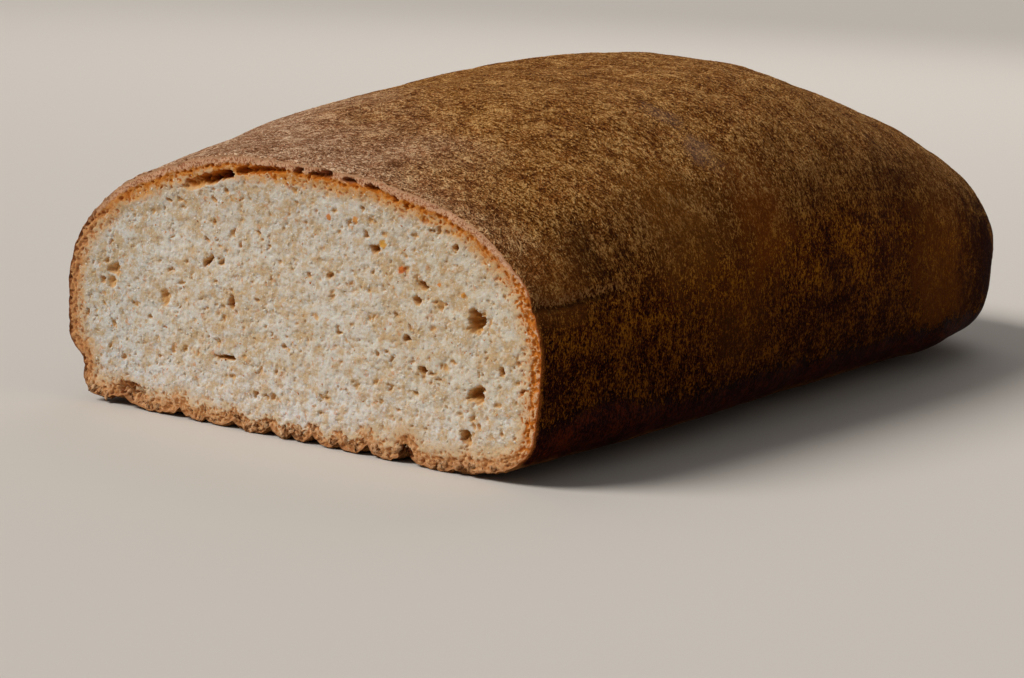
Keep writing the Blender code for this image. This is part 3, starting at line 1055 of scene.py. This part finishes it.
def ring_colour(finish, cut, crumb):
    """The toasted ring over the crumb: rind, lip, porous band and the stain that fades into the crumb, with
    painted shade in its pores and deepest holes.
    """
    grain, mottle, hole, top = cut.grain, cut.mottle, cut.hole, cut.top
    lip, band, shallow, deep, stain, spots, rind = (
        cut.by_side(colours) for colours in (LIP, BAND, BAND_RUST_AND_SHADE, BAND_PORE_SHADE, STAIN, SPOTS, RIND)
    )
    streaks = finish.node("ShaderNodeCombineXYZ", {}, {"X": cut.around, "Y": cut.inward * 2.0})
    rusty = finish.clouds(streaks, RUST_SIZE, 3.0, 0.8)
    ragged = cut.ring + (mottle - 0.5) * RAGGED_BY_MOTTLE + (grain - 0.5) * RAGGED_BY_GRAIN
    edge = cut.inward - top * TOP_LIP + (mottle - 0.5) * RING_SHAKE + (grain - 0.5) * RING_SHAKE
    outer = 1.0 - finish.fade(edge, *LIP_SPAN)
    band = finish.lay(band, rusty, shallow, RUST_SPAN, RUSTED_BY)
    fine = finish.clouds(finish.place, LIP_FLECK_SIZE, 1.0, 1.0)
    flecked = finish.fade(rusty, *SPOT_SPAN) * (1.0 - top) + finish.fade(fine, *TOP_SPOT_SPAN) * top
    lip = finish.mix(lip, spots, flecked * RUSTED_BY)
    stain = finish.lay(stain, grain + mottle - 1.0, crumb, MOTTLED_STAIN_SPAN, STAIN_MOTTLED_BY)
    coloured = finish.lay(finish.mix(band, lip, outer), ragged, stain, STAIN_SPAN)
    # painted shade in the ring's pores, darker with depth
    pores = finish.mix(finish.lay(shallow, hole, deep, RING_DEPTH_SPAN), spots, outer)
    coloured = finish.lay(coloured, hole, pores, RING_PORE_SPAN)
    coloured = finish.lay(rind, cut.inward + (grain - 0.5) * RIND_SHAKE, coloured, RIND_SPAN)
    coloured = finish.lay(coloured, ragged, crumb, CRUMB_SPAN)
    # painted shade in the deepest holes
    depths = finish.fade(hole, *DEPTHS_SPAN) * finish.math("MAXIMUM", top, cut.low * DEPTHS_AT_BASE_BY)
    return finish.mix(coloured, DEPTH_SHADE, depths)


def crumb_finish():
    """The cut: soft pale crumb inside its toasted ring."""
    finish = Finish("open_crumb")
    cut = CutPlaces(finish)
    return finish.surface({
        "Base Color": ring_colour(finish, cut, crumb_colour(finish, cut)),
        "Roughness": 0.85,
        "Specular IOR Level": 0.1,
        "Subsurface Weight": 0.35,
        "Subsurface Radius": (1.0, 0.6, 0.35),
        "Subsurface Scale": 0.0020,
        "Normal": finish.bump(cut.grain, CRUMB_RELIEF),
    })


# Dark and pale colours of the bran and the crumbs that lie on the cut, and of the lumps along its base.
CUT_BRAN_COLOURS = (tint(178, 92, 28), tint(206, 150, 92))
LOOSE_CRUMB_COLOURS = (tint(206, 188, 158), tint(218, 210, 196))
DARK_TOAST = tint(134, 76, 34)
MIDDLE_TOAST = (tint(194, 142, 96), (0.38, 0.52))
PALE_TOAST = (tint(220, 182, 142), (0.56, 0.70))
OWN_TONE_BY = 0.12
LUMP_GRAIN_SIZE = 0.0010
LUMP_RELIEF = 0.0006


def fleck_finish(name, colours, roughness):
    """Flecks whose colours differ from one to the next."""
    finish = Finish(name)
    coloured = finish.mix(*colours, finish.stored("tone"))
    return finish.surface({"Base Color": coloured, "Roughness": roughness, "Specular IOR Level": 0.2})


def lump_finish():
    """Toasted crumbs of the base, from pale to dark brown within each lump."""
    finish = Finish("toasted_lumps")
    grain = finish.clouds(finish.place, LUMP_GRAIN_SIZE, 4.0, 0.8)
    toasted = finish.lay(DARK_TOAST, grain, *MIDDLE_TOAST)
    toasted = finish.lay(toasted, grain + finish.stored("tone") * OWN_TONE_BY, *PALE_TOAST)
    return finish.surface({
        "Base Color": toasted,
        "Roughness": 0.9,
        "Specular IOR Level": 0.1,
        "Normal": finish.bump(grain, LUMP_RELIEF),
    })


# How the cut face is filled: triangles inside its outline alone, and points closer than this made one.
ONLY_INSIDE = 1
MERGE_WITHIN = 1e-9


def make_cut_face(outline, place, material):
    """The cut: a fine triangle mesh within the skin's own edge, with its pores pressed into the loaf."""
    rng = np.random.default_rng(SEED)
    edge = divided(outline, CUT_FACE_STEP)
    inner = scattered_points(outline, rng)
    points = np.concatenate([edge, inner])
    flat = [Vector(point) for point in points]
    ring_of_edge = [list(range(len(edge)))]
    found, _, faces, *_ = geometry.delaunay_2d_cdt(flat, [], ring_of_edge, ONLY_INSIDE, MERGE_WITHIN)
    points = np.array([tuple(point) for point in found])
    inward, around, tangent = near_outline(points, outline)
    hole, torn = crumb_relief(points, inward, tangent, rng)
    depth = (hole + torn) * smooth_step(0.0, FLAT_EDGE, inward)
    solid = np.stack([points[:, 0], np.maximum(depth, -HIGHEST_TEAR), points[:, 1]], axis=1) + place
    ring = inward / crust_thickness(points[:, 0], points[:, 1])
    attributes = {"inward": inward, "ring": ring, "around": around, "hole": hole, "rise": points[:, 1]}
    return make_piece("cut_face", solid, [tuple(face) for face in faces], material, attributes)


class ScatterTree:
    """A node tree that strews copies of one small lump over a surface."""

    SIZES = ("Density", "Length", "Width", "Thickness", "Smallest", "Sunk", "Spin", "Dent", "Dent Size")
    STEPS = ("Segments", "Rings")

    def __init__(self, name):
        self.tree = bpy.data.node_groups.new(name, "GeometryNodeTree")
        self.sockets = {}
        self.add_input("Geometry", "NodeSocketGeometry")
        for title in self.SIZES:
            self.add_input(title, "NodeSocketFloat")
        for title in ("Seed", *self.STEPS):
            self.add_input(title, "NodeSocketInt")
        self.add_input("Material", "NodeSocketMaterial")
        self.tree.interface.new_socket("Geometry", in_out="OUTPUT", socket_type="NodeSocketGeometry")
        self.inputs = self.tree.nodes.new("NodeGroupInput").outputs
        self.build()

    def add_input(self, title, kind):
        made = self.tree.interface.new_socket(title, in_out="INPUT", socket_type=kind)
        self.sockets[title] = made.identifier

    def node(self, kind, settings, values):
        """A node: its settings first, then the values or links of its sockets."""
        made = self.tree.nodes.new(kind)
        for name, setting in settings.items():
            setattr(made, name, setting)
        for name, value in values.items():
            self.feed(made.inputs[name], value)
        return made.outputs

    def feed(self, socket, value):
        if isinstance(value, bpy.types.NodeSocket):
            self.tree.links.new(value, socket)
        else:
            socket.default_value = value

    def build(self):
        """Points on the surface, turned and sized lumps on them, and then their dents and their material."""
        given = self.inputs
        coated = self.dented(self.lumps_on(*self.settled_points()))
        settings = {"Geometry": coated, "Material": given["Material"]}
        self.node("NodeGroupOutput", {}, {0: self.node("GeometryNodeSetMaterial", {}, settings)[0]})

    def settled_points(self):
        """Points on the surface, sunk into it, and how a lump lies at each."""
        given = self.inputs
        chance = self.node("GeometryNodeInputNamedAttribute", {"data_type": "FLOAT"}, {"Name": "chance"})[0]
        density = self.node("ShaderNodeMath", {"operation": "MULTIPLY"}, {0: given["Density"], 1: chance})[0]
        spread = {"Mesh": given["Geometry"], "Density": density, "Seed": given["Seed"]}
        points = self.node("GeometryNodeDistributePointsOnFaces", {"use_legacy_normal": False}, spread)
        sink = self.vector("SCALE", {0: points["Normal"], "Scale": given["Sunk"]})
        settled = self.node("GeometryNodeSetPosition", {}, {"Geometry": points["Points"], "Offset": sink})[0]
        around = self.vector("CROSS_PRODUCT", {0: points["Normal"], 1: (0.0, 1.0, 0.0)})
        along = {"Rotation": points["Rotation"], "Vector": around}
        lie = self.node("FunctionNodeAlignRotationToVector", {"axis": "X", "pivot_axis": "Z"}, along)[0]
        reach = self.node("ShaderNodeCombineXYZ", {}, {0: LUMP_TIP, 1: LUMP_TIP, 2: given["Spin"]})[0]
        shaken = self.random("FLOAT_VECTOR", (-1.0, -1.0, -1.0), (1.0, 1.0, 1.0), 1)
        shaken = self.vector("MULTIPLY", {0: shaken, 1: reach})
        turn = self.node("FunctionNodeEulerToRotation", {}, {0: shaken})[0]
        turned = {"Rotation": lie, "Rotate By": turn}
        return settled, self.node("FunctionNodeRotateRotation", {"rotation_space": "LOCAL"}, turned)[0]

    def lumps_on(self, points, rotation):
        """A flattened ball on every point, each of its own size and tone, made real."""
        given = self.inputs
        ball = {"Segments": given["Segments"], "Rings": given["Rings"], "Radius": 0.5}
        lump = self.node("GeometryNodeMeshUVSphere", {}, ball)["Mesh"]
        size = {0: given["Length"], 1: given["Width"], 2: given["Thickness"]}
        size = self.node("ShaderNodeCombineXYZ", {}, size)[0]
        lump = self.node("GeometryNodeTransform", {}, {"Geometry": lump, "Scale": size})[0]
        scale = self.random("FLOAT", given["Smallest"], 1.0, 2)
        placed = {"Points": points, "Instance": lump, "Rotation": rotation, "Scale": scale}
        strewn = self.node("GeometryNodeInstanceOnPoints", {}, placed)[0]
        tone = {"Geometry": strewn, "Name": "tone", "Value": self.random("FLOAT", 0.0, 1.0, 3)}
        kind = {"data_type": "FLOAT", "domain": "INSTANCE"}
        toned = self.node("GeometryNodeStoreNamedAttribute", kind, tone)[0]
        return self.node("GeometryNodeRealizeInstances", {}, {"Geometry": toned})[0]

    def dented(self, lumps):
        """The lumps pushed in and out by a noise, and smooth to look at."""
        given = self.inputs
        waves = self.node("ShaderNodeMath", {"operation": "DIVIDE"}, {0: 1.0, 1: given["Dent Size"]})[0]
        place = self.node("GeometryNodeInputPosition", {}, {})[0]
        dents = self.node("ShaderNodeTexNoise", {}, {"Vector": place, "Scale": waves, "Detail": 2.0})["Color"]
        dents = self.vector("SUBTRACT", {0: dents, 1: (0.5, 0.5, 0.5)})
        dents = self.vector("SCALE", {0: dents, "Scale": given["Dent"]})
        moved = self.node("GeometryNodeSetPosition", {}, {"Geometry": lumps, "Offset": dents})[0]
        return self.node("GeometryNodeSetShadeSmooth", {}, {"Geometry": moved})[0]

    def vector(self, operation, values):
        return self.node("ShaderNodeVectorMath", {"operation": operation}, values)[0]

    def random(self, data_type, low, high, seed):
        outputs = self.node("FunctionNodeRandomValue", {"data_type": data_type}, {"Seed": seed})
        enabled = [socket for socket in outputs[0].node.inputs if socket.enabled]
        for socket, value in zip(enabled[:2], (low, high)):
            self.feed(socket, value)
        return next(output for output in outputs if output.enabled)

    def strew(self, name, surface, chance, seed, material, sizes):
        """A piece of lumps over the surface, likelier where the chance is high."""
        source = bpy.data.objects.new(name + "_ground", surface.data.copy())
        bpy.context.scene.collection.objects.link(source)
        source.data.attributes.new("chance", "FLOAT", "POINT").data.foreach_set("value", chance)
        modifier = source.modifiers.new("strewn", "NODES")
        modifier.node_group = self.tree
        for title, value in zip(self.SIZES + self.STEPS, sizes):
            modifier[self.sockets[title]] = value
        modifier[self.sockets["Seed"]] = seed
        modifier[self.sockets["Material"]] = material
        evaluated = source.evaluated_get(bpy.context.evaluated_depsgraph_get())
        mesh = bpy.data.meshes.new_from_object(evaluated)
        bpy.data.objects.remove(source)
        for vertex in mesh.vertices:
            vertex.co.z = max(vertex.co.z, 0.0)
        piece = bpy.data.objects.new(name, mesh)
        bpy.context.scene.collection.objects.link(piece)
        return hand_in(piece)


# Lumps strewn on the loaf: how many to a square metre, their length, width and thickness, the share of that
# size that the smallest have, how far they lie out of the surface, how far they turn on it, the depth and
# size of their dents, and their faces round and from end to end.
ANY_WAY = 3.14
LUMP_TIP = 0.35
CRUST_BRAN = (380000.0, 0.0012, 0.0004, 0.00022, 0.35, -0.00004, 1.2, 0.0, 0.001, 4, 2)
CUT_BRAN = (50000.0, 0.0009, 0.0006, 0.0002, 0.3, -0.00004, ANY_WAY, 0.0, 0.001, 4, 2)
LOOSE_CRUMBS = (130000.0, 0.0010, 0.0007, 0.0004, 0.3, -0.00004, ANY_WAY, 0.0003, 0.0005, 5, 3)
BASE_LUMPS = (420000.0, 0.0026, 0.0018, 0.0015, 0.35, -0.0004, ANY_WAY, 0.0030, 0.0011, 12, 8)

# Where they lie: bran above the foot, crumbs inside the ring and out of holes, lumps along the base's edge.
BRAN_ABOVE_FOOT = (0.0, 0.002)
CRUMBS_INSIDE = (0.002, 0.005)
CRUMBS_NOT_IN_HOLES = (0.0002, 0.0006)
LUMPS_BEGIN = (0.0003, 0.0008)
LUMPS_END = (0.0012, 0.0021)
LUMPS_UP_TO = (0.0030, 0.0042)


def strew_the_loaf(crust, cut_face):
    """Bran on the crust, bran and crumbs on the cut, and crumbly lumps along its base."""
    tree = ScatterTree("strewn_lumps")
    inward, rise, hole = (read_values(cut_face, title) for title in ("inward", "rise", "hole"))
    on_crust = smooth_step(*BRAN_ABOVE_FOOT, read_values(crust, "above_foot"))
    inside = smooth_step(*CRUMBS_INSIDE, inward) * (1.0 - smooth_step(*CRUMBS_NOT_IN_HOLES, hole))
    along_base = smooth_step(*LUMPS_BEGIN, inward) * (1.0 - smooth_step(*LUMPS_END, inward))
    along_base *= 1.0 - smooth_step(*LUMPS_UP_TO, rise)
    bran = fleck_finish("cut_bran", CUT_BRAN_COLOURS, 0.8)
    crumbs = fleck_finish("loose_crumbs", LOOSE_CRUMB_COLOURS, 0.9)
    tree.strew("crust_bran", crust, on_crust, 3, crust_bran_finish(), CRUST_BRAN)
    tree.strew("cut_bran", cut_face, inside, 5, bran, CUT_BRAN)
    tree.strew("loose_crumbs", cut_face, inside, 7, crumbs, LOOSE_CRUMBS)
    tree.strew("base_lumps", cut_face, along_base, 11, lump_finish(), BASE_LUMPS)


def read_values(piece, title):
    """The piece's stored values of that title, one to a point."""
    values = np.zeros(len(piece.data.vertices))
    piece.data.attributes[title].data.foreach_get("value", values)
    return values


def make_loaf():
    """The crust down to the foot, the crust of the base, the cut face, and what is strewn on them."""
    shares = ring_shares()[:-1]
    left_foot, right_foot = math.pi - FOOT_ANGLE, 2.0 * math.pi + FOOT_ANGLE
    crust, crust_up = skin(shares, angles_between(FOOT_ANGLE, left_foot, CRUST_POINTS_AROUND))
    base, base_up = skin(shares, angles_between(left_foot, right_foot, BASE_POINTS_ACROSS))
    low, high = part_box("loaf")
    everything = np.concatenate([crust.reshape(-1, 3), base.reshape(-1, 3)])
    middle = (everything.min(axis=0) + everything.max(axis=0)) / 2.0
    place = np.array([(low[0] + high[0]) / 2.0 - middle[0], low[1], 0.0])
    tip = plain_loaf(1.0, 0.0)
    crust_material, crumb_material = crust_finish(), crumb_finish()
    for name, part, up in (("crust", crust, crust_up), ("base_crust", base, base_up)):
        points = np.concatenate([part.reshape(-1, 3), tip[None, :]]) + place
        attributes = crust_values(points - place, np.append(up.ravel(), 0.0))
        make_piece(name, points, faces_between(*part.shape[:2]), crust_material, attributes)
    outline = np.concatenate([crust[0, :-1], base[0, :-1]])[:, (0, 2)]
    cut_face = make_cut_face(outline, place, crumb_material)
    strew_the_loaf(bpy.data.objects["crust"], cut_face)


def crust_values(shape, up):
    """What the crust's finish needs at each point: its slant, its height above the foot, and the seam."""
    height, there = from_seam(shape)
    return {
        "up": up,
        "above_foot": shape[:, 2] - np.interp(shape[:, 1], *zip(*FOOT_EDGE)),
        "seam": there,
        "above_seam": np.clip(height, *SEAM_SURROUNDINGS),
    }


FLOOR_COLOUR = tint(214, 208, 200)
FLOOR_REACH = 8.0
FLOOR_CORNERS = ((-1, -1), (1, -1), (1, 1), (-1, 1))


def make_floor():
    corners = [(across * FLOOR_REACH, along * FLOOR_REACH, 0.0) for across, along in FLOOR_CORNERS]
    mesh = bpy.data.meshes.new("floor")
    mesh.from_pydata(corners, [], [(0, 1, 2, 3)])
    mesh.materials.append(Finish("pale_floor").surface({"Base Color": FLOOR_COLOUR, "Roughness": 0.8}))
    floor = bpy.data.objects.new("floor", mesh)
    bpy.context.scene.collection.objects.link(floor)


# The light: a wide soft key from the front left, a round fill from behind, and a faint even glow.
KEY_FROM = (-0.65, -0.85, 1.0)
KEY_STRENGTH = 2.7
KEY_SPREAD = math.radians(28.0)
FILL_PLACE = (-0.5, 1.1, 1.0)
FILL_AIM = (0.0, 0.0, 0.03)
FILL_SIZE = 1.2
FILL_POWER = 4.0
FILL_COLOUR = (1.0, 0.96, 0.92)
DAYLIGHT = (1.0, 0.97, 0.94)
GLOW_STRENGTH = 0.16


def add_lamp(light, colour, strength, place, shines_from):
    """A lamp that shines away from the given direction."""
    light.energy = strength
    light.color = colour
    lamp = bpy.data.objects.new(light.name, light)
    lamp.location = place
    lamp.rotation_euler = Vector(shines_from).to_track_quat("Z", "Y").to_euler()
    bpy.context.scene.collection.objects.link(lamp)


def set_the_light():
    key = bpy.data.lights.new("window_light", "SUN")
    key.angle = KEY_SPREAD
    add_lamp(key, DAYLIGHT, KEY_STRENGTH, (0.0, 0.0, 0.0), KEY_FROM)
    fill = bpy.data.lights.new("back_fill", "AREA")
    fill.shape = "DISK"
    fill.size = FILL_SIZE
    add_lamp(fill, FILL_COLOUR, FILL_POWER, FILL_PLACE, Vector(FILL_PLACE) - Vector(FILL_AIM))
    world = bpy.data.worlds.new("studio")
    world.use_nodes = True
    glow = world.node_tree.nodes["Background"].inputs
    glow["Color"].default_value = (*DAYLIGHT, 1.0)
    glow["Strength"].default_value = GLOW_STRENGTH
    bpy.context.scene.world = world
    bpy.context.scene.view_settings.view_transform = "Standard"


def set_the_camera():
    lens = bpy.data.cameras.new("camera")
    lens.sensor_width = SENSOR_WIDTH
    lens.lens = SENSOR_WIDTH * FOCAL_LENGTH_IN_PIXELS / FRAME_WIDTH
    camera = bpy.data.objects.new("camera", lens)
    heading = Matrix.Rotation(CAMERA_YAW, 4, "Z")
    level = Matrix.Rotation(math.pi / 2.0 + CAMERA_PITCH, 4, "X")
    roll = Matrix.Rotation(CAMERA_ROLL, 4, "Z")
    camera.matrix_world = Matrix.Translation(CAMERA_PLACE) @ heading @ level @ roll
    bpy.context.scene.collection.objects.link(camera)
    bpy.context.scene.camera = camera


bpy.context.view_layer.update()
make_loaf()
make_floor()
set_the_light()
set_the_camera()
